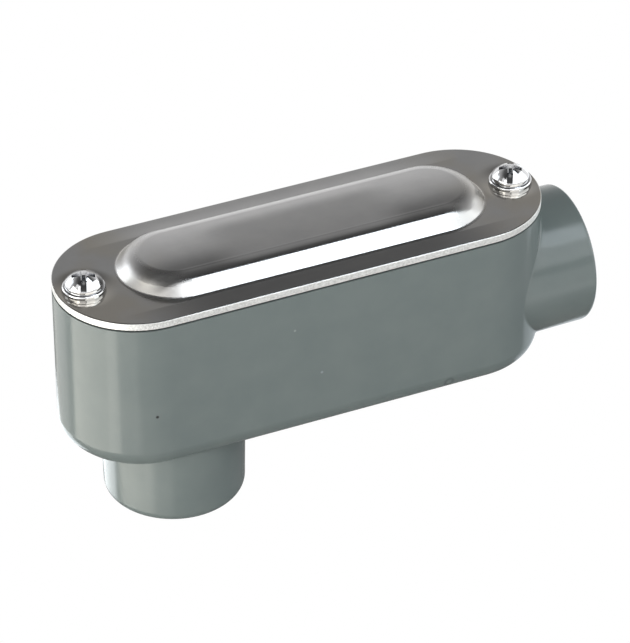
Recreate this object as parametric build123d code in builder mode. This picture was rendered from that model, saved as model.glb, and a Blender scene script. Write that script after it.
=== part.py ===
"""Elbow conduit body: a casting with a back hub and an end hub, a stamped cover, its gasket and two screws.

The origin is the middle of the back hub's mouth. +X runs along the body to the end hub,
and +Z points to the cover side.
"""
from build123d import *
import os
from math import radians, tan

# Body casting
body_length = 110.3
body_width = 36.0
casting_height = 36.2
bottom_edge_radius = 4.8
wall = 2.8
floor_thickness = 3.0
floor_corner_radius = 2.0
inside_draft = 0.8

# Hubs, threaded for half inch conduit
hub_mouth_diameter = 30.6
hub_draft = 1.0
hub_root_radius = 0.7
back_hub_inset = 25.1
back_hub_length = 17.6
back_hub_mouth_radius = 2.0
end_hub_projection = 9.0
end_hub_height = 15.9
end_hub_mouth_radius = 0.8
thread_bore_diameter = 21.0
thread_depth = 14.0
thread_mouth_chamfer = 0.4
bushing_diameter = 16.6
bushing_length = 4.0
bushing_edge_radius = 0.8
flare_angle = 40.0
end_pad_wall = 3.0

# Cover and gasket
cover_thickness = 1.6
cover_edge_radius = 0.25
gasket_thickness = 0.5
gasket_inset = 0.35
gasket_side_width = 4.2
gasket_hole_margin = 1.6

# Raised panel of the cover
panel_elbow_margin = 14.0
panel_hub_margin = 12.9
panel_side_margin = 5.7
panel_height = 3.6
panel_crown = 0.2
panel_wall_angle = 52.0
panel_shoulder_radius = 4.6
panel_foot_radius = 0.8

# Cover screws, number 8 with 32 threads to the inch, and their holes
elbow_screw_inset = 6.0
hub_screw_inset = 5.4
screw_diameter = 4.1
screw_length = 9.5
screw_point_chamfer = 0.5
screw_boss_diameter = 8.6
hub_boss_gap = 2.0
tapped_hole_clearance = 0.1
tapped_hole_spare_depth = 0.9
cover_hole_clearance = 0.3

# Head of a cover screw: a dome on a washer face, with a cross recess and a slot
head_diameter = 8.1
head_height = 2.9
head_side_height = 0.9
head_edge_radius = 0.8
head_washer_diameter = 9.3
head_washer_thickness = 0.8
head_washer_edge_radius = 0.35
slot_width = 1.3
slot_depth = 1.9
recess_span = 5.2
recess_width = 1.5
recess_depth = 2.5
recess_taper = 12.0
elbow_screw_slot_angle = 69.0
hub_screw_slot_angle = 62.0

# Places that follow from the sizes above
body_bottom = back_hub_length
floor_top = body_bottom + floor_thickness
rim_top = body_bottom + casting_height
cover_bottom = rim_top + gasket_thickness
flange_top = cover_bottom + cover_thickness
body_start = -back_hub_inset
body_end = body_start + body_length
body_middle = (body_start + body_end) / 2
hub_depth = thread_depth + bushing_length
end_hub_mouth = body_end + end_hub_projection
end_hub_axis = body_bottom + end_hub_height
pad_face = end_hub_mouth - hub_depth
pad_radius = thread_bore_diameter / 2 + end_pad_wall
flare_depth = floor_top - hub_depth
flare_radius = bushing_diameter / 2 + flare_depth * tan(radians(flare_angle))
elbow_screw_place = body_start + elbow_screw_inset
hub_screw_place = body_end - hub_screw_inset
screw_places = [(elbow_screw_place, 0), (hub_screw_place, 0)]
boss_feet = [floor_top, end_hub_axis + bushing_diameter / 2 + hub_boss_gap]
tapped_hole_depth = screw_length - cover_thickness - gasket_thickness + tapped_hole_spare_depth
cover_hole_radius = screw_diameter / 2 + cover_hole_clearance
gasket_end_width = max(elbow_screw_inset, hub_screw_inset) + cover_hole_radius + gasket_hole_margin

# The mouth planes look outward, so a hole made on one runs into its hub
back_mouth_plane = Plane(origin=(0, 0, 0), x_dir=(1, 0, 0), z_dir=(0, 0, -1))
end_mouth_plane = Plane(origin=(end_hub_mouth, 0, end_hub_axis), x_dir=(0, 1, 0), z_dir=(1, 0, 0))


def body_outline(inset):
    """Outline of the body from above, with full round ends, drawn in by the inset."""
    with Locations((body_middle, 0)):
        SlotOverall(body_length - 2 * inset, body_width - 2 * inset)


def circles_of(part, diameter):
    """Circular edges of one diameter."""
    circles = part.edges().filter_by(GeomType.CIRCLE)
    return circles.filter_by(lambda edge: abs(2 * edge.radius - diameter) < 0.001)


def hub_blank(mouth_plane, length, mouth_radius):
    """Solid hub with cast draft and a rounded mouth, running inward from its mouth plane."""
    with BuildPart() as blank:
        with BuildSketch(mouth_plane):
            Circle(hub_mouth_diameter / 2)
        extrude(amount=-length, taper=-hub_draft)
        mouth = blank.faces().filter_by(mouth_plane).sort_by(SortBy.AREA)[0]
        fillet(mouth.edges(), mouth_radius)
    return blank.part


back_hub_blank = hub_blank(back_mouth_plane, floor_top, back_hub_mouth_radius)
end_hub_blank = hub_blank(end_mouth_plane, end_hub_projection + body_width / 2, end_hub_mouth_radius)

# Wire space of the casting, as the core that forms it
with BuildPart() as core:
    with BuildSketch(Plane.XY.offset(rim_top)):
        body_outline(wall)
    extrude(amount=floor_top - rim_top, taper=inside_draft)
    fillet(core.faces().sort_by(Axis.Z)[0].edges(), floor_corner_radius)

    # Pad behind the end hub, from the floor up, rounded over the thread
    with BuildSketch(Plane.YZ.offset(pad_face)):
        with Locations((0, end_hub_axis)):
            Circle(pad_radius)
        with Locations((0, (floor_top + end_hub_axis) / 2)):
            Rectangle(body_width, end_hub_axis - floor_top)
    extrude(amount=hub_depth, mode=Mode.SUBTRACT)

    # Screw bosses: one stands on the floor, the other sits on the pad over the bushing
    for place, boss_foot in zip(screw_places, boss_feet):
        with BuildSketch(Plane.XY.offset(boss_foot)):
            with Locations(place):
                Circle(screw_boss_diameter / 2)
        extrude(amount=casting_height, mode=Mode.SUBTRACT)

    # Wide way down from the floor into the back hub's bushing
    with BuildSketch(Plane.XY.offset(floor_top)):
        Circle(flare_radius)
    extrude(amount=-flare_depth, taper=flare_angle)

# Casting
with BuildPart() as casting:
    with BuildSketch(Plane.XY.offset(body_bottom)):
        body_outline(0)
    extrude(amount=casting_height)
    fillet(casting.faces().sort_by(Axis.Z)[0].edges(), bottom_edge_radius)

    add(back_hub_blank)
    fillet(casting.edges(Select.NEW), hub_root_radius)
    add(end_hub_blank)
    fillet(casting.edges(Select.NEW), hub_root_radius)

    add(core.part, mode=Mode.SUBTRACT)

    with Locations(back_mouth_plane, end_mouth_plane):
        CounterBoreHole(bushing_diameter / 2, thread_bore_diameter / 2, thread_depth, hub_depth)
    fillet(circles_of(casting, bushing_diameter), bushing_edge_radius)
    mouth_rings = casting.faces().filter_by(Plane.XY).sort_by(Axis.Z)[:1]
    mouth_rings += casting.faces().filter_by(Plane.YZ).sort_by(Axis.X)[-1:]
    chamfer([ring.inner_wires()[0].edges() for ring in mouth_rings], thread_mouth_chamfer)

    with Locations(*[(x, y, rim_top) for x, y in screw_places]):
        Hole(screw_diameter / 2 + tapped_hole_clearance, tapped_hole_depth)

casting.part.label = "body_casting"

# Gasket: a flat ring under the cover, wide enough at the ends to take the screws
with BuildPart() as gasket:
    with BuildSketch(Plane.XY.offset(rim_top)):
        body_outline(gasket_inset)
        with Locations((body_middle, 0)):
            SlotOverall(body_length - 2 * gasket_end_width, body_width - 2 * gasket_side_width,
                        mode=Mode.SUBTRACT)
        with Locations(*screw_places):
            Circle(cover_hole_radius, mode=Mode.SUBTRACT)
    extrude(amount=gasket_thickness)

gasket.part.label = "cover_gasket"

# The panel's round ends turn about these two places, where its straight run begins and ends
panel_half_width = body_width / 2 - panel_side_margin
panel_start = body_start + panel_elbow_margin + panel_half_width
panel_finish = body_end - panel_hub_margin - panel_half_width
panel_skirt = panel_half_width + 2 * panel_foot_radius + cover_thickness


def panel_section(place, whole=False):
    """Half or all of the sheet's section across the raised panel, out to the flat flange."""
    half_angle = radians(panel_wall_angle / 2)
    wall_run = panel_height / tan(radians(panel_wall_angle))
    inward = cover_thickness * tan(half_angle)
    top = flange_top + panel_height
    middle = Vector(0, top + panel_crown)
    shoulder = Vector(panel_half_width - wall_run, top)
    foot = Vector(panel_half_width, flange_top)
    under = Vector(-inward, -cover_thickness)
    with BuildSketch(Plane.YZ.offset(place)) as section:
        with BuildLine():
            Line(middle - (0, cover_thickness), middle)
            TangentArc(middle, shoulder, tangent=(1, 0))
            Polyline(shoulder, foot, (panel_skirt, flange_top), (panel_skirt, cover_bottom),
                     foot + under, shoulder + under)
            TangentArc(middle - (0, cover_thickness), shoulder + under, tangent=(1, 0))
        make_face()
        for corner, radius in [(shoulder, panel_shoulder_radius),
                               (shoulder + under, panel_shoulder_radius - cover_thickness),
                               (foot, panel_foot_radius),
                               (foot + under, panel_foot_radius + cover_thickness)]:
            fillet(section.vertices().sort_by_distance(corner)[0], radius)
        if whole:
            mirror(about=Plane.YZ)
    return section.sketch


# Cover: a flat flange with the panel pressed up out of it
with BuildPart() as cover:
    extrude(panel_section(panel_start, whole=True), amount=panel_finish - panel_start)
    revolve(panel_section(panel_start), Axis((panel_start, 0, 0), (0, 0, 1)), 180)
    revolve(panel_section(panel_finish), Axis((panel_finish, 0, 0), (0, 0, -1)), 180)
    with BuildSketch(Plane.XY.offset(cover_bottom)):
        body_outline(0)
        with Locations(((panel_start + panel_finish) / 2, 0)):
            SlotCenterToCenter(panel_finish - panel_start, 2 * panel_skirt, mode=Mode.SUBTRACT)
    extrude(amount=cover_thickness)
    flange_face = cover.faces().filter_by(Plane.XY).sort_by(Axis.Z)[-1]
    fillet(flange_face.outer_wire().edges(), cover_edge_radius)
    with Locations(*[(x, y, flange_top) for x, y in screw_places]):
        Hole(cover_hole_radius)

cover.part.label = "cover"


def cover_screw(place, slot_angle):
    """Round head screw on a washer face, turned to the angle at which it was driven home."""
    seat = Location((*place, flange_top))
    head_top = head_washer_thickness + head_height
    side_top = (head_diameter / 2, head_washer_thickness + head_side_height)
    washer_rim = (head_washer_diameter / 2, head_washer_thickness)
    with BuildPart() as screw:
        with BuildSketch(Plane.XZ) as screw_profile:
            with BuildLine():
                Polyline((0, head_top), (0, -screw_length), (screw_diameter / 2, -screw_length),
                         (screw_diameter / 2, 0), (head_washer_diameter / 2, 0), washer_rim,
                         (head_diameter / 2, head_washer_thickness), side_top)
                TangentArc((0, head_top), side_top, tangent=(1, 0))
            make_face()
            fillet(screw_profile.vertices().sort_by_distance(side_top)[0], head_edge_radius)
            fillet(screw_profile.vertices().sort_by_distance(washer_rim)[0], head_washer_edge_radius)
        revolve(axis=Axis.Z)
        chamfer(screw.edges().sort_by(Axis.Z)[0], screw_point_chamfer)
        with BuildSketch(Plane.XY.offset(head_top)):
            Rectangle(head_washer_diameter, slot_width, rotation=slot_angle)
        extrude(amount=-slot_depth, mode=Mode.SUBTRACT)
        with BuildSketch(Plane.XY.offset(head_top)):
            Rectangle(recess_span, recess_width, rotation=slot_angle)
            Rectangle(recess_width, recess_span, rotation=slot_angle)
        extrude(amount=-recess_depth, taper=recess_taper, mode=Mode.SUBTRACT)
    return screw.part.moved(seat)


elbow_end_screw = cover_screw(screw_places[0], elbow_screw_slot_angle)
elbow_end_screw.label = "elbow_end_screw"
hub_end_screw = cover_screw(screw_places[1], hub_screw_slot_angle)
hub_end_screw.label = "hub_end_screw"

os.makedirs("parts", exist_ok=True)
export_step(casting.part, "parts/body_casting.step")
export_step(gasket.part, "parts/cover_gasket.step")
export_step(cover.part, "parts/cover.step")
export_step(elbow_end_screw, "parts/elbow_end_screw.step")
export_step(hub_end_screw, "parts/hub_end_screw.step")
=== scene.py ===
"""Looks of the elbow conduit body: painted casting, stamped cover, plated screws and threads."""
import bmesh
import bpy
from math import cos, pi, radians, sin, tan
from mathutils import Matrix, Vector


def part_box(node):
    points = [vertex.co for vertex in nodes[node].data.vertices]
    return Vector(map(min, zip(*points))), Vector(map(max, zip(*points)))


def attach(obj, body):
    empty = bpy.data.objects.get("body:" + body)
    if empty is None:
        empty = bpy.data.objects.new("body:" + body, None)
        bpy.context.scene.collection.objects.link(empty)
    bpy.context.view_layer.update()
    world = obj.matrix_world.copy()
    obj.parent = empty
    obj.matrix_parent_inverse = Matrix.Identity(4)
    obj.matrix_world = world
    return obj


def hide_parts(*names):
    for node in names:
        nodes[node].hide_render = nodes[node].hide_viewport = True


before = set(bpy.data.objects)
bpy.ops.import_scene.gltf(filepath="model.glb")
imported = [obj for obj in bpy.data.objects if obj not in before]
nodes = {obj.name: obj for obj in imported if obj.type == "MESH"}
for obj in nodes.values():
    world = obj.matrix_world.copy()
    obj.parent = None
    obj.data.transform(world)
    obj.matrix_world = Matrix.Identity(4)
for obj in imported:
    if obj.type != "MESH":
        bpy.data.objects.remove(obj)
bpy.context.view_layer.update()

MM = 0.001


def middle_x(node):
    """Place along X of the middle of a node's box."""
    low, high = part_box(node)
    return (low.x + high.x) / 2


# The photograph's frame and the camera fitted to it
picture_height = 643
sensor_mm = 36.0
focal_length_pixels = 3879.6
picture_offset_pixels = (-14.85, -13.56)
camera_azimuth = radians(24.108)
camera_elevation = radians(34.873)
camera_roll = radians(-0.188)
camera_distance = 832.4 * MM
aim = Vector((30.05, 0, 36.757)) * MM

# Places taken from the frame
casting_low, casting_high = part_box("body_casting")
cover_low, cover_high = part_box("cover")
outline_radius = (cover_high.y - cover_low.y) / 2
outline_middle = middle_x("cover")
outline_straight = (cover_high.x - cover_low.x) / 2 - outline_radius
back_hub_mouth = casting_low.z
end_hub_mouth = casting_high.x
rim_top = casting_high.z
elbow_screw_axis = middle_x("elbow_end_screw")
hub_screw_axis = middle_x("hub_end_screw")

# Places that no node's box gives
end_hub_axis = 33.5 * MM
flange_top = 55.9 * MM

# Taper pipe thread of the hubs, half inch size. Its ridges start from nothing at the mouth, and grow a
# little with the depth, because the bore is straight and the thread tapers.
hub_bore_radius = 10.5 * MM
hub_thread_pitch = 25.4 / 14 * MM
hub_thread_height = 1.38 * MM
hub_thread_taper = 1 / 32
hub_thread_start = 0.45 * MM
hub_thread_end = 13.95 * MM
hub_columns = 96

# Fine thread of the cover screws, 32 to the inch, and of their tapped holes
screw_pitch = 25.4 / 32 * MM
screw_radius = 2.05 * MM
screw_root_radius = 1.62 * MM
screw_neck = 0.9 * MM
screw_run_out_rate = 1.5
screw_point = 0.9 * MM
screw_tip_share = 0.55
screw_columns = 48
shank_reach = 0.2 * MM
tapped_hole_radius = 2.15 * MM
tapped_hole_start = 0.3 * MM
tapped_hole_end = 8.0 * MM
tapped_ridge_height = 0.08 * MM
tapped_columns = 32

# What all threads share: rows of points in one turn, how far a sleeve is sunk in its bore's wall, and
# the gain and shift of a sharp wave from 0 to 1 that leave small flats on its crests and in its roots
thread_rows_a_turn = 14
sunk = 0.05 * MM
wave_gain = 1.15
wave_shift = 0.05

# Making of the meshes
merge_distance = 0.001 * MM
cut_allowance = 0.01 * MM
crease_angle = radians(32)

# Quarters of the screw heads: how much rounder than a plain dome, and from where to where outwards.
# The slot and the recess get painted shade, darker as far as their walls shelter them.
head_quarter_lean = 0.34
head_quarter_start = 0.3 * MM
head_quarter_full = 1.2 * MM
shelter_reach = 1.6 * MM

# Colours of each surface, in pairs where it varies between two
paint_tones = [(0.138, 0.165, 0.161), (0.150, 0.176, 0.171)]
sheet_tones = [(0.530, 0.527, 0.527), (0.570, 0.565, 0.560)]
stain_tone = (0.540, 0.512, 0.465)
edge_tones = [(0.66, 0.66, 0.64), (0.94, 0.94, 0.92)]
gasket_tones = [(0.012, 0.012, 0.012), (0.035, 0.034, 0.032)]
plating_tones = [(0.70, 0.70, 0.71), (0.82, 0.82, 0.83)]
# Painted shade for the screws' slot and recess
recess_painted_shade = (0.10, 0.11, 0.12)
floor_tone = (0.8, 0.8, 0.8)

# Roughness of each surface, as a range where it varies, and the range that most of a noise's values are in
paint_roughness = (0.15, 0.20)
sheet_roughness = (0.15, 0.20)
gasket_roughness = 0.8
plating_roughness = (0.06, 0.14)
floor_roughness = 0.9
noise_range = (0.3, 0.7)

# Specks and a faint ring on the near side of the casting: place and radius in mm, and colour. The ring is
# a dark disc with a paler one on it.
paint_marks = [
    ((-10.5, -17.7, 31.9), 0.45, (0.02, 0.02, 0.02)),
    ((57.3, -17.4, 20.8), 1.5, (0.085, 0.10, 0.097)),
    ((57.3, -17.4, 20.8), 1.0, (0.154, 0.182, 0.177)),
    ((20.8, -18.0, 45.0), 0.35, (0.24, 0.26, 0.26)),
    ((27.0, -18.0, 32.5), 0.4, (0.23, 0.25, 0.27)),
]

# Bows that stamping left in the cover, as ramps across it: start and finish in mm, and lean in degrees.
# The flanges droop about the cover's middle, and the panel is flatter there, each in full up to one run
# from that middle and no more past another. Towards its ends the panel is crowned.
near_droop = 7.0
droop_steps = [(-13.4, -12.9, near_droop), (12.9, 13.4, 6.0), (14.0, 17.0, -2.5)]
droop_full_run = 22 * MM
droop_no_run = 48 * MM
crown_steps = [(-10.2, -8.9, 13.0), (-9.2, -6.6, -16.0), (-7.6, 1.0, 8.0), (-1.0, 7.0, 2.8)]
flat_steps = [(-10.2, -8.9, 17.0), (-9.2, -6.8, -15.3), (2.4, 6.8, 6.1)]
flat_full_run = 14 * MM
flat_no_run = 24 * MM

# The cover's raised panel: a slot-shaped form, and the distances from its middle line where it ends
panel_middle = 30.6 * MM
panel_straight = 29.4 * MM
panel_inside = 10.6 * MM
panel_outside = 12.2 * MM

# Shallow, smoother dish round each screw
dish_inside = 5.2 * MM
dish_outside = 8.0 * MM
dish_degrees = 6.0
dish_polish = 0.10

# Rougher ends of the panel, where the sheet was drawn: from the end of the panel's straight run on, and
# between two distances from its middle line
drawn_roughness = 0.17
drawn_start = -1.0 * MM
drawn_full = 4.0 * MM
drawn_inside = (7.0 * MM, 9.0 * MM)
drawn_outside = (12.2 * MM, 12.8 * MM)

# The cover's sheared edge, inwards from its outline, and the stained ends of its face
edge_start = 0.10 * MM
edge_full = 0.03 * MM
edge_roughness = 0.30
stain_start = 30 * MM
stain_full = 42 * MM

# Nearest that a place may count to a screw's axis, so that a division by that distance stays finite
nearest_to_axis = 0.2 * MM

# Floor, and the object's soft shade on it, which is seen in reflections only
floor_level = -0.30
floor_half = 6.0
shade_middle = (0.22, 0.12)
shade_inside = 0.30
shade_outside = 0.85
shade_tone = 0.2

# Studio walls: tone at the sine of each height above the horizon. Those towards -Y have a share of it,
# and the change runs from minus to plus the front wall's edge along Y.
wall_tones = [
    (0.0, 0.66), (0.174, 0.80), (0.259, 0.765), (0.375, 0.515), (0.5, 0.40),
    (0.574, 0.32), (0.669, 0.183), (0.743, 0.108), (1.0, 0.075),
]
front_wall_share = 0.3
front_wall_edge = 0.3

# Sines of the heights between which the white horizon of reflections fades into the walls' tones
white_wall_low = 0.05
white_wall_high = 0.15

# Softboxes: azimuth from +X to +Y and elevation in degrees, distance, width and height in metres,
# radiance, colour if not white, and roll in degrees if any
lamps = [
    ("front_window", 277, 38, 0.62, 0.44, 0.46, 2.3, (0.97, 0.99, 1.0)),
    ("front_window_top", 285, 64, 0.62, 0.40, 0.11, 0.65),
    ("front_left_fade", 231, 27, 0.62, 0.42, 0.30, 1.3),
    ("front_left_fade_top", 230, 46, 0.62, 0.26, 0.16, 0.45),
    ("front_right_top", 318, 54, 0.62, 0.22, 0.26, 3.8, (0.86, 0.94, 1.0)),
    ("left_top_fade", 203, 36, 0.62, 0.26, 0.14, 0.8),
    ("right_window", 335, 21, 0.62, 0.80, 0.34, 1.7, (0.94, 0.98, 1.0), -26),
    ("left_box", 198, 5, 0.60, 0.54, 0.50, 2.8, (1.0, 0.99, 0.93)),
    ("back_left_box", 130, 11, 0.60, 0.32, 0.24, 2.2, (0.93, 0.97, 1.0)),
    ("left_fade", 152, 20, 0.60, 0.18, 0.22, 0.9, (0.88, 0.95, 1.0)),
    ("low_left_card", 183, -36, 0.50, 0.52, 0.20, 2.6, (1.0, 0.98, 0.88)),
    ("low_back_card", 118, -34, 0.50, 0.30, 0.30, 0.6, (1.0, 0.99, 0.95)),
    ("low_front_left_card", 222, -36, 0.50, 0.30, 0.20, 0.8, (1.0, 0.99, 0.93)),
    ("low_front_card", 291, -42, 0.70, 0.80, 0.60, 0.35),
    ("low_right_card", 18, -24, 0.14, 0.12, 0.10, 0.8, (0.85, 0.94, 1.0)),
    ("hub_card", 140, -40, 0.10, 0.06, 0.025, 2.0, (0.90, 0.96, 1.0)),
]

screw_bodies = {"elbow_end_screw": "elbow_screw", "hub_end_screw": "hub_screw"}


def make_camera():
    """Camera at the photograph's viewing angle."""
    flat = cos(camera_elevation)
    back = Vector((-sin(camera_azimuth) * flat, -cos(camera_azimuth) * flat, sin(camera_elevation)))
    level = Vector((cos(camera_azimuth), -sin(camera_azimuth), 0))
    upright = back.cross(level)
    right = level * cos(camera_roll) + upright * sin(camera_roll)
    up = upright * cos(camera_roll) - level * sin(camera_roll)
    data = bpy.data.cameras.new("camera")
    data.lens = focal_length_pixels * sensor_mm / picture_height
    data.sensor_width = sensor_mm
    data.shift_x = -picture_offset_pixels[0] / picture_height
    data.shift_y = picture_offset_pixels[1] / picture_height
    camera = bpy.data.objects.new("camera", data)
    turn = Matrix((right, up, back)).transposed()
    camera.matrix_world = Matrix.Translation(aim + back * camera_distance) @ turn.to_4x4()
    bpy.context.scene.collection.objects.link(camera)
    bpy.context.scene.camera = camera


class Nodes:
    """One node tree and short ways to add and join its nodes."""

    def __init__(self, tree, coordinates):
        self.tree = tree
        self.place = self.node("ShaderNodeTexCoord").outputs[coordinates]

    def node(self, kind, **settings):
        """New node with the given settings."""
        made = self.tree.nodes.new(kind)
        for key, value in settings.items():
            setattr(made, key, value)
        return made

    def feed(self, socket, value):
        """Links another socket to a socket, or sets its own value."""
        if isinstance(value, bpy.types.NodeSocket):
            self.tree.links.new(value, socket)
        else:
            socket.default_value = value

    def math(self, operation, *values, clamp=False):
        """Result of one operation."""
        made = self.node("ShaderNodeMath", operation=operation, use_clamp=clamp)
        for socket, value in zip(made.inputs, values):
            self.feed(socket, value)
        return made.outputs[0]

    def span(self, value, low, high, to_low, to_high, smooth=False):
        """The value, mapped from one range to another and kept inside it."""
        kind = "SMOOTHSTEP" if smooth else "LINEAR"
        made = self.node("ShaderNodeMapRange", interpolation_type=kind)
        for socket, number in zip(made.inputs, (value, low, high, to_low, to_high)):
            self.feed(socket, number)
        return made.outputs["Result"]

    def share(self, value, low, high):
        """Share from 0 to 1 as the value goes from low to high."""
        return self.span(value, low, high, 0.0, 1.0)

    def blend(self, share, first, second):
        """Colour between two colours."""
        made = self.node("ShaderNodeMix", data_type="RGBA")
        self.feed(made.inputs["Factor"], share)
        colours = [socket for socket in made.inputs if socket.type == "RGBA"]
        for socket, colour in zip(colours, (first, second)):
            self.feed(socket, colour if isinstance(colour, bpy.types.NodeSocket) else (*colour, 1))
        return next(socket for socket in made.outputs if socket.type == "RGBA")

    def axis(self, name, vector=None):
        """One coordinate of the place, or of another vector."""
        parts = self.node("ShaderNodeSeparateXYZ")
        self.feed(parts.inputs[0], vector or self.place)
        return parts.outputs[name]

    def length(self, along, across):
        """Length of a vector in a plane."""
        squares = self.math(
            "ADD", self.math("MULTIPLY", along, along), self.math("MULTIPLY", across, across))
        return self.math("SQRT", squares)

    def distance(self, point):
        """Distance of the place from a point."""
        made = self.node("ShaderNodeVectorMath", operation="DISTANCE")
        self.feed(made.inputs[0], self.place)
        self.feed(made.inputs[1], point)
        return made.outputs["Value"]

    def rays(self):
        """1 for a ray from the camera, and 1 for a ray from a reflection or through a clear piece."""
        path = self.node("ShaderNodeLightPath").outputs
        return path["Is Camera Ray"], self.math("ADD", path["Is Glossy Ray"], path["Is Transmission Ray"])


class Shader(Nodes):
    """The node tree of one new material."""

    def __init__(self, name):
        self.material = bpy.data.materials.new(name)
        self.material.use_nodes = True
        super().__init__(self.material.node_tree, "Object")
        self.surface = self.tree.nodes["Principled BSDF"]

    def set(self, name, value):
        """Links or sets an input of the surface."""
        self.feed(self.surface.inputs[name], value)

    def stretched(self, scale):
        """The place, scaled along each axis, for streaks."""
        mapping = self.node("ShaderNodeMapping")
        self.feed(mapping.inputs["Vector"], self.place)
        self.feed(mapping.inputs["Scale"], scale)
        return mapping.outputs["Vector"]

    def noise(self, size, detail=2.0, roughness=0.5, place=None):
        """Noise from 0 to 1 whose lumps are about the given size in metres."""
        made = self.node("ShaderNodeTexNoise")
        self.feed(made.inputs["Vector"], place or self.place)
        self.feed(made.inputs["Scale"], 1 / size)
        self.feed(made.inputs["Detail"], detail)
        self.feed(made.inputs["Roughness"], roughness)
        return made.outputs["Fac"]

    def bump(self, height, depth, strength=1.0, normal=None):
        """Bump of a height from 0 to 1 whose full depth is given in metres."""
        made = self.node("ShaderNodeBump")
        self.feed(made.inputs["Strength"], strength)
        self.feed(made.inputs["Distance"], depth)
        self.feed(made.inputs["Height"], height)
        if normal:
            self.feed(made.inputs["Normal"], normal)
        return made.outputs["Normal"]

    def leant_normal(self, x, y):
        """Surface normal, leant by an object-space vector in the XY plane."""
        leant = self.node("ShaderNodeCombineXYZ")
        self.feed(leant.inputs["X"], x)
        self.feed(leant.inputs["Y"], y)
        turned = self.node(
            "ShaderNodeVectorTransform", vector_type="VECTOR", convert_from="OBJECT", convert_to="WORLD")
        self.feed(turned.inputs["Vector"], leant.outputs[0])
        joined = self.node("ShaderNodeVectorMath", operation="ADD")
        self.feed(joined.inputs[0], self.node("ShaderNodeNewGeometry").outputs["Normal"])
        self.feed(joined.inputs[1], turned.outputs[0])
        unit = self.node("ShaderNodeVectorMath", operation="NORMALIZE")
        self.feed(unit.inputs[0], joined.outputs[0])
        return unit.outputs[0]


def from_middle(shader, middle):
    """Distance along X from a middle."""
    return shader.math("ABSOLUTE", shader.math("SUBTRACT", shader.axis("X"), middle))


def past_straight(shader, middle, straight):
    """Distance along X past the nearer end of a straight run, below zero beside the run."""
    return shader.math("SUBTRACT", from_middle(shader, middle), straight)


def slot_distance(shader, middle, straight):
    """Distance from a middle line along X, which is constant along a slot-shaped outline."""
    along = shader.math("MAXIMUM", past_straight(shader, middle, straight), 0.0)
    return shader.length(along, shader.axis("Y"))


def from_screw(shader, screw_axis):
    """Distances from a screw's axis: along X, along Y, and all round."""
    along = shader.math("SUBTRACT", shader.axis("X"), screw_axis)
    across = shader.axis("Y")
    away = shader.math("MAXIMUM", shader.length(along, across), nearest_to_axis)
    return along, across, away


def casting_paint():
    """Grey enamel on a die casting: slight orange peel, faint blotches."""
    shader = Shader("casting_paint")
    cloud = shader.share(shader.noise(size=9 * MM, detail=3), 0.35, 0.65)
    colour = shader.blend(cloud, *paint_tones)
    for place, radius, tone in paint_marks:
        away = shader.distance([coordinate * MM for coordinate in place])
        colour = shader.blend(shader.span(away, 0.5 * radius * MM, radius * MM, 1.0, 0.0), colour, tone)
    shader.set("Base Color", colour)
    shader.set("Roughness", shader.span(shader.noise(size=2.5 * MM), *noise_range, *paint_roughness))
    shader.set("Specular IOR Level", 0.5)
    peel = shader.bump(shader.noise(size=1.1 * MM, detail=1), depth=0.02 * MM, strength=0.35)
    grain = shader.noise(size=0.25 * MM, detail=1)
    fine = shader.bump(grain, depth=0.004 * MM, strength=0.3, normal=peel)
    shader.set("Normal", fine)
    return shader.material


def ramps(shader, value, steps):
    """Sum of smooth ramps, each given by its start and finish in mm and its lean in degrees."""
    total = 0.0
    for start, finish, degrees in steps:
        ramp = shader.span(value, start * MM, finish * MM, 0.0, tan(radians(degrees)), smooth=True)
        total = shader.math("ADD", total, ramp)
    return total


def sheet_lean(shader):
    """Normal of the sheet, leant where stamping left it bowed.

    The long flanges droop about their middle. The panel is crowned, and flatter at the middle of its
    length. The flanges are dished round the screws.
    """
    across = shader.axis("Y")
    away_from_middle = from_middle(shader, outline_middle)

    droop = shader.span(away_from_middle, droop_full_run, droop_no_run, 1.0, 0.0, smooth=True)
    flange = shader.math("SUBTRACT", ramps(shader, across, droop_steps), tan(radians(near_droop)))
    flange = shader.math("MULTIPLY", flange, droop)

    flat = shader.span(away_from_middle, flat_full_run, flat_no_run, 1.0, 0.0, smooth=True)
    crowned = shader.math("SUBTRACT", 1.0, flat)
    crown = shader.math("MULTIPLY", ramps(shader, across, crown_steps), crowned)
    crown = shader.math("ADD", crown, shader.math("MULTIPLY", ramps(shader, across, flat_steps), flat))
    from_line = slot_distance(shader, panel_middle, panel_straight)
    on_panel = shader.span(from_line, panel_inside, panel_outside, 1.0, 0.0)
    crown = shader.math("MULTIPLY", crown, on_panel)

    lean_x = 0.0
    lean_y = shader.math("ADD", flange, crown)
    for screw_axis in (elbow_screw_axis, hub_screw_axis):
        along, across, away = from_screw(shader, screw_axis)
        full_lean = -tan(radians(dish_degrees))
        dish = shader.span(away, dish_inside, dish_outside, full_lean, 0.0, smooth=True)
        dish = shader.math("DIVIDE", dish, away)
        lean_x = shader.math("ADD", lean_x, shader.math("MULTIPLY", along, dish))
        lean_y = shader.math("ADD", lean_y, shader.math("MULTIPLY", across, dish))
    return shader.leant_normal(lean_x, lean_y)


def roughness_of_sheet(shader, streaks):
    """Roughness of the sheet: streaked, smoother round the screws, rougher at the panel's drawn ends."""
    rough = shader.span(streaks, *noise_range, *sheet_roughness)
    for screw_axis in (elbow_screw_axis, hub_screw_axis):
        _, _, away = from_screw(shader, screw_axis)
        polish = shader.span(away, dish_inside, dish_outside, dish_polish, 0.0)
        rough = shader.math("SUBTRACT", rough, polish)
    past_run = past_straight(shader, panel_middle, panel_straight)
    at_end = shader.span(past_run, drawn_start, drawn_full, 0.0, drawn_roughness)
    from_line = slot_distance(shader, panel_middle, panel_straight)
    ring = shader.math(
        "SUBTRACT", shader.share(from_line, *drawn_inside), shader.share(from_line, *drawn_outside))
    return shader.math("ADD", rough, shader.math("MULTIPLY", at_end, ring))


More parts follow.
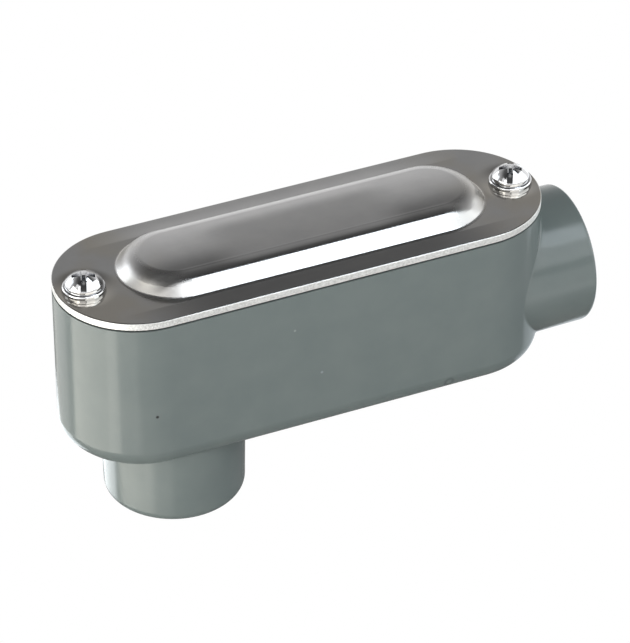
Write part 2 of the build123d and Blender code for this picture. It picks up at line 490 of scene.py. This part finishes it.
def cover_metal():
    """Rolled sheet with faint streaks along it, and a bright torn edge where it was sheared."""
    shader = Shader("cover_metal")
    from_line = slot_distance(shader, outline_middle, outline_straight)
    edge = shader.share(from_line, outline_radius - edge_start, outline_radius - edge_full)

    blotch = shader.share(shader.noise(size=6 * MM, detail=4, roughness=0.6), *noise_range)
    plain = shader.blend(blotch, *sheet_tones)
    ends = shader.share(from_middle(shader, outline_middle), stain_start, stain_full)
    stain = shader.math("MULTIPLY", ends, shader.share(shader.noise(size=14 * MM, detail=2), 0.38, 0.58))
    face = shader.blend(stain, plain, stain_tone)
    torn = shader.noise(size=0.35 * MM, detail=3, roughness=0.7)
    bright = shader.blend(shader.share(torn, 0.35, 0.65), *edge_tones)
    shader.set("Base Color", shader.blend(edge, face, bright))
    shader.set("Metallic", 1.0)

    streaks = shader.noise(size=0.5 * MM, detail=3, place=shader.stretched((0.05, 1, 1)))
    edge_rough = shader.span(edge, 0.0, 1.0, 0.0, edge_roughness)
    shader.set("Roughness", shader.math("ADD", roughness_of_sheet(shader, streaks), edge_rough))

    fine = shader.bump(streaks, depth=0.002 * MM, strength=0.2, normal=sheet_lean(shader))
    wavy = shader.bump(shader.noise(size=12 * MM, detail=1), depth=0.05 * MM, strength=0.3, normal=fine)
    torn_edge = shader.math("MULTIPLY", torn, edge)
    shader.set("Normal", shader.bump(torn_edge, depth=0.08 * MM, strength=0.8, normal=wavy))
    return shader.material


def gasket_sheet():
    """Dark fibre sheet."""
    shader = Shader("gasket")
    grain = shader.noise(size=0.3 * MM, detail=3)
    shader.set("Base Color", shader.blend(grain, *gasket_tones))
    shader.set("Roughness", gasket_roughness)
    shader.set("Normal", shader.bump(grain, depth=0.05 * MM, strength=0.6))
    return shader.material


def screw_plating():
    """Bright zinc plate with painted shade in the slot and recess, on heads with rounder quarters than a
    dome's.
    """
    shader = Shader("screw_plating")
    # Painted shade: the base colour darkens where the walls of the slot and recess shelter the surface
    sheltered = shader.node("ShaderNodeAmbientOcclusion", samples=8)
    shader.feed(sheltered.inputs["Distance"], shelter_reach)
    open_share = shader.share(sheltered.outputs["AO"], 0.25, 0.75)
    tone = shader.blend(shader.noise(size=1.5 * MM, detail=3), *plating_tones)
    shader.set("Base Color", shader.blend(open_share, recess_painted_shade, tone))
    shader.set("Metallic", 1.0)
    scuffs = shader.noise(size=0.6 * MM, detail=3)
    shader.set("Roughness", shader.span(scuffs, *noise_range, *plating_roughness))

    at_hub_end = shader.math("GREATER_THAN", shader.axis("X"), outline_middle)
    screw_axis = shader.span(at_hub_end, 0.0, 1.0, elbow_screw_axis, hub_screw_axis)
    along, across, away = from_screw(shader, screw_axis)
    upward = shader.axis("Z", shader.node("ShaderNodeNewGeometry").outputs["Normal"])
    on_top = shader.math("MULTIPLY", shader.share(upward, 0.5, 0.7), open_share)
    lean = shader.span(away, head_quarter_start, head_quarter_full, 0.0, head_quarter_lean)
    outward = shader.math("DIVIDE", shader.math("MULTIPLY", lean, on_top), away)
    lean_x = shader.math("MULTIPLY", along, outward)
    lean_y = shader.math("MULTIPLY", across, outward)
    normal = shader.leant_normal(lean_x, lean_y)
    dents = shader.noise(size=0.4 * MM, detail=2)
    shader.set("Normal", shader.bump(dents, depth=0.01 * MM, strength=0.3, normal=normal))
    return shader.material


def smooth_mesh(name, points, faces):
    """Mesh object that is smooth but for its creases."""
    mesh = bpy.data.meshes.new(name)
    mesh.from_pydata(points, [], faces)
    mesh.shade_smooth()
    mesh.set_sharp_from_angle(angle=crease_angle)
    made = bpy.data.objects.new(name, mesh)
    bpy.context.scene.collection.objects.link(made)
    return made


def rings_of(radius_at, low, high, rows, columns):
    """Rings of points round the Z axis, from low to high, with the radius given at each turn and height."""
    points = []
    for row in range(rows + 1):
        height = low + (high - low) * row / rows
        for column in range(columns):
            turn = column / columns
            radius = radius_at(turn, height)
            points.append((radius * cos(2 * pi * turn), radius * sin(2 * pi * turn), height))
    return points


def ring_faces(rows, columns, first=0, flip=False):
    """Four-sided faces between neighbouring rings."""
    faces = []
    for row in range(rows):
        for column in range(columns):
            low = first + row * columns
            beside = (column + 1) % columns
            face = (low + column, low + beside, low + columns + beside, low + columns + column)
            faces.append(face[::-1] if flip else face)
    return faces


def thread_wave(turn, height, pitch):
    """Share of the thread's depth at a place: 0 in the root, 1 on the crest, with small flats on both."""
    phase = (height / pitch - turn) % 1
    return min(1.0, max(0.0, wave_gain * abs(2 * phase - 1) - wave_shift))


def thread_sleeve(name, bore_radius, ridge_at, low, high, pitch, columns):
    """Inner thread: a sleeve sunk in the bore's wall, with the thread on its inside, along Z."""
    rows = round((high - low) / pitch * thread_rows_a_turn)

    def inner(turn, height):
        """Radius of the threaded inside."""
        return bore_radius - ridge_at(height) * thread_wave(turn, height, pitch)

    points = rings_of(inner, low, high, rows, columns)
    outside = rings_of(lambda turn, height: bore_radius + sunk, low, high, 1, columns)
    outer_low = len(points)
    outer_high = outer_low + columns
    inner_high = rows * columns
    faces = ring_faces(rows, columns, flip=True)
    faces += ring_faces(1, columns, first=outer_low)
    for column in range(columns):
        beside = (column + 1) % columns
        faces.append((outer_low + column, outer_low + beside, beside, column))
        faces.append((inner_high + column, inner_high + beside, outer_high + beside, outer_high + column))
    return smooth_mesh(name, points + outside, faces)


def hub_thread(name, place):
    """Taper thread of a hub, with the hub's mouth at the place's origin and its depth along Z."""
    def ridge(depth):
        """Height of the ridges at a depth."""
        lead = depth - hub_thread_start
        return max(0.0, min(hub_thread_height + hub_thread_taper * depth, lead))

    made = thread_sleeve(
        name, hub_bore_radius, ridge, hub_thread_start, hub_thread_end, hub_thread_pitch, hub_columns)
    made.matrix_world = place
    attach(made, "casting")
    return made


def tapped_thread(name, screw_place):
    """Fine thread in the tapped hole of a cover screw."""
    low = rim_top - tapped_hole_end
    high = rim_top - tapped_hole_start
    made = thread_sleeve(
        name, tapped_hole_radius, lambda height: tapped_ridge_height, low, high, screw_pitch, tapped_columns)
    made.matrix_world = Matrix.Translation(screw_place)
    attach(made, "casting")
    return made


def threaded_screw(node, body):
    """Cover screw with the CAD head and a shank that carries its thread."""
    head = bmesh.new()
    head.from_mesh(nodes[node].data)
    bmesh.ops.remove_doubles(head, verts=head.verts, dist=merge_distance)
    below = [vertex for vertex in head.verts if vertex.co.z < flange_top - cut_allowance]
    bmesh.ops.delete(head, geom=below, context="VERTS")
    bmesh.ops.holes_fill(head, edges=head.edges, sides=0)
    points = [tuple(vertex.co) for vertex in head.verts]
    faces = [tuple(vertex.index for vertex in face.verts) for face in head.faces]
    head.free()

    low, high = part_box(node)
    axis = Vector(((low.x + high.x) / 2, (low.y + high.y) / 2, 0))
    neck_low = flange_top - screw_neck
    rows = round((flange_top - low.z) / screw_pitch * thread_rows_a_turn)

    def shank(turn, height):
        """Radius of the shank: a plain neck, the thread with its run-out, and a blunt point."""
        run_out = min(1.0, max(0.0, (neck_low - height) / screw_pitch * screw_run_out_rate))
        thread = (screw_radius - screw_root_radius) * run_out * thread_wave(turn, height, screw_pitch)
        point = min(1.0, screw_tip_share + (height - low.z) / screw_point * (1 - screw_tip_share))
        return (screw_root_radius + thread) * point

    first = len(points)
    shank_points = rings_of(shank, low.z, flange_top + shank_reach, rows, screw_columns)
    points += [tuple(Vector(point) + axis) for point in shank_points]
    faces += ring_faces(rows, screw_columns, first=first)
    faces.append(tuple(first + column for column in reversed(range(screw_columns))))
    faces.append(tuple(first + rows * screw_columns + column for column in range(screw_columns)))
    made = smooth_mesh(node + "_threaded", points, faces)
    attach(made, body)
    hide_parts(node)
    return made


def dress(node, material):
    """Gives a CAD node its finished material."""
    nodes[node].material_slots[0].material = material


def area_light(name, azimuth, elevation, distance, width, height, radiance, colour=(1, 1, 1), roll=0):
    """Softbox that faces the object, seen in reflections and not by the camera."""
    flat = cos(radians(elevation))
    towards = Vector((cos(radians(azimuth)) * flat, sin(radians(azimuth)) * flat, sin(radians(elevation))))
    data = bpy.data.lights.new(name, "AREA")
    data.shape = "RECTANGLE"
    data.size = width
    data.size_y = height
    data.energy = radiance * pi * width * height
    data.color = colour
    light = bpy.data.objects.new(name, data)
    light.visible_camera = False
    turn = towards.to_track_quat("Z", "Y").to_matrix().to_4x4() @ Matrix.Rotation(radians(roll), 4, "Z")
    light.matrix_world = Matrix.Translation(aim + towards * distance) @ turn
    bpy.context.scene.collection.objects.link(light)


def make_floor():
    """Plain pale floor, white to the camera and in reflections but for the object's soft shade."""
    mesh = bpy.data.meshes.new("floor")
    corners = [(-1, -1), (1, -1), (1, 1), (-1, 1)]
    points = [(x * floor_half, y * floor_half, floor_level) for x, y in corners]
    mesh.from_pydata(points, [], [(0, 1, 2, 3)])
    floor = bpy.data.objects.new("floor", mesh)
    bpy.context.scene.collection.objects.link(floor)

    shader = Shader("floor")
    shader.set("Base Color", (*floor_tone, 1))
    shader.set("Roughness", floor_roughness)
    from_camera, mirrored = shader.rays()
    away = shader.distance((*shade_middle, floor_level))
    shade = shader.span(away, shade_inside, shade_outside, shade_tone, 1.0, smooth=True)
    white = shader.node("ShaderNodeEmission")
    shader.feed(white.inputs["Strength"], shader.math("MAXIMUM", shade, from_camera))
    mix = shader.node("ShaderNodeMixShader")
    shader.feed(mix.inputs[0], shader.math("ADD", mirrored, from_camera, clamp=True))
    shader.feed(mix.inputs[1], shader.surface.outputs[0])
    shader.feed(mix.inputs[2], white.outputs[0])
    shader.feed(shader.tree.nodes["Material Output"].inputs["Surface"], mix.outputs[0])
    floor.data.materials.append(shader.material)


def make_world():
    """Studio walls: white to the camera, and in reflections white at the horizon and darker above."""
    world = bpy.data.worlds.new("studio")
    world.use_nodes = True
    shader = Nodes(world.node_tree, "Generated")
    height = shader.axis("Z")
    ramp = shader.node("ShaderNodeValToRGB")
    shader.feed(ramp.inputs[0], height)
    while len(ramp.color_ramp.elements) < len(wall_tones):
        ramp.color_ramp.elements.new(0.5)
    for element, (sine, tone) in zip(ramp.color_ramp.elements, wall_tones):
        element.position = sine
        element.color = (tone, tone, tone, 1)
    front = shader.span(shader.axis("Y"), -front_wall_edge, front_wall_edge, front_wall_share, 1.0)
    shaded = shader.node("ShaderNodeVectorMath", operation="SCALE")
    shader.feed(shaded.inputs[0], ramp.outputs["Color"])
    shader.feed(shaded.inputs["Scale"], front)
    from_camera, mirrored = shader.rays()
    low = shader.span(height, white_wall_low, white_wall_high, 1.0, 0.0)
    white = shader.math("MULTIPLY_ADD", mirrored, low, from_camera, clamp=True)
    colour = shader.blend(white, shaded.outputs[0], (1, 1, 1))
    shader.feed(shader.tree.nodes["Background"].inputs["Color"], colour)
    bpy.context.scene.world = world


make_camera()
make_world()
make_floor()
for lamp in lamps:
    area_light(*lamp)

paint = casting_paint()
plating = screw_plating()
dress("body_casting", paint)
dress("cover", cover_metal())
dress("cover_gasket", gasket_sheet())

into_back_hub = Matrix.Translation((0, 0, back_hub_mouth))
into_end_hub = Matrix.Translation((end_hub_mouth, 0, end_hub_axis)) @ Matrix.Rotation(-pi / 2, 4, "Y")
threads = [hub_thread("back_hub_thread", into_back_hub), hub_thread("end_hub_thread", into_end_hub)]
for node in screw_bodies:
    threads.append(tapped_thread(node + "_hole_thread", (middle_x(node), 0, 0)))
for thread in threads:
    thread.data.materials.append(paint)
for node, body in screw_bodies.items():
    threaded_screw(node, body).data.materials.append(plating)

scene = bpy.context.scene
scene.view_settings.view_transform = "Standard"
